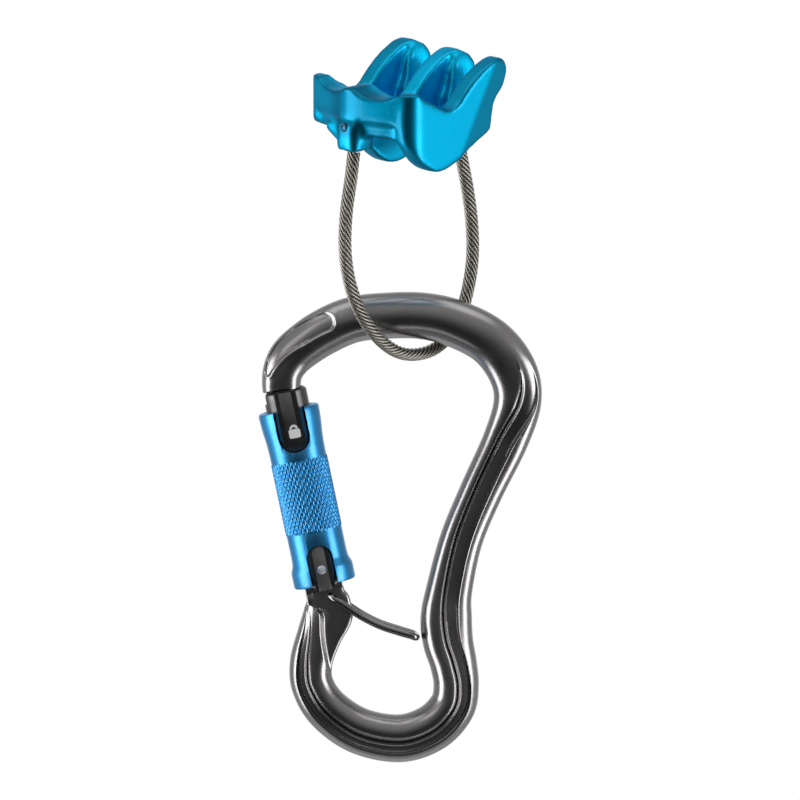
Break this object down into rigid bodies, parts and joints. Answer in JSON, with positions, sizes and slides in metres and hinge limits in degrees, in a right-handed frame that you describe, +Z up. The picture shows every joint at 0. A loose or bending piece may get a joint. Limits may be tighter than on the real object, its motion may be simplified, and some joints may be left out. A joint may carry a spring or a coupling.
{
  "type": "belay device with locking carabiner",
  "caption": "Tubular belay device with rope slots and tall fins; its keeper cable carries a pear-shaped locking carabiner with a knurled twist sleeve and an inner keeper wire.",
  "frame": {"origin": "middle of the belay device between its rope slots, level with their lower mouths", "axes": "+Z up, the carabiner hangs straight down in the XZ direction, +Y away from the viewer and square to the carabiner's faces, +X to the right from the gate to the spine"},
  "size_m": [0.0709, 0.05, 0.1816],
  "materials": {
    "blue_anodised": "satin anodised",
    "ferrule_metal": "crimped",
    "pin_steel": "ground",
    "coated_steel_rope": "stranded under a clear coat",
    "gunmetal_anodised": "glossy anodised",
    "rivet_steel": "polished",
    "black_anodised": "satin anodised",
    "spring_steel": "drawn",
    "plunger_brass": "turned",
    "royal_blue_anodised": "satin anodised, knurled",
    "keeper_wire_steel": "bright drawn"
  },
  "bodies": {
    "belay_device": {"belay_body": "blue_anodised", "cable_ferrule_front": "ferrule_metal", "cable_ferrule_back": "ferrule_metal", "cable_pin_front": "pin_steel", "cable_pin_back": "pin_steel"},
    "keeper": {"keeper_cable": "coated_steel_rope"},
    "carabiner": {"carabiner_frame": "gunmetal_anodised", "hinge_rivet": "rivet_steel"},
    "gate": {"gate_barrel": "black_anodised", "sleeve_guide_pin": "pin_steel", "gate_spring": "spring_steel", "sleeve_spring": "spring_steel"},
    "plunger": {"gate_plunger": "plunger_brass"},
    "sleeve": {"locking_sleeve": "royal_blue_anodised"},
    "wire": {"keeper_wire": "keeper_wire_steel"}
  },
  "joints": [
    {"name": "keeper_sway", "type": "hinge", "parent": "belay_device", "child": "keeper", "pos_m": [0, 0.00028, -0.00158], "axis": [0.7071, 0.6964, 0.1228], "range_deg": [-12, 12], "stiffness_Nm_per_rad": 0.8},
    {"name": "carabiner_swing", "type": "hinge", "parent": "keeper", "child": "carabiner", "pos_m": [0.003, 0.012, -0.0463], "axis": [1, 0, 0], "range_deg": [-40, 12]},
    {"name": "gate_open", "type": "hinge", "parent": "carabiner", "child": "gate", "pos_m": [-0.0219, 0.012, -0.1096], "axis": [0, 1, 0], "range_deg": [0, 24], "stiffness_Nm_per_rad": 0.08, "springref_deg": -17.19},
    {"name": "sleeve_turn", "type": "hinge", "parent": "gate", "child": "sleeve", "pos_m": [-0.0219, 0.012, -0.1096], "axis": [-0.2062, 0, 0.9785], "range_deg": [0, 90], "stiffness_Nm_per_rad": 0.01, "springref_deg": -34.38},
    {"name": "plunger_slide", "type": "slide", "parent": "gate", "child": "plunger", "axis": [-0.2062, 0, 0.9785], "range_m": [0, 0.00125], "deforming": ["gate_spring"]},
    {"name": "wire_push", "type": "hinge", "parent": "carabiner", "child": "wire", "pos_m": [-0.0196, 0.012, -0.1163], "axis": [0, 1, 0], "range_deg": [0, 32], "stiffness_Nm_per_rad": 0.02, "springref_deg": -14.32}
  ],
  "couplings": [
    {"joint": "plunger_slide", "follows": "gate_open", "m_per_rad": 0.00297}
  ]
}
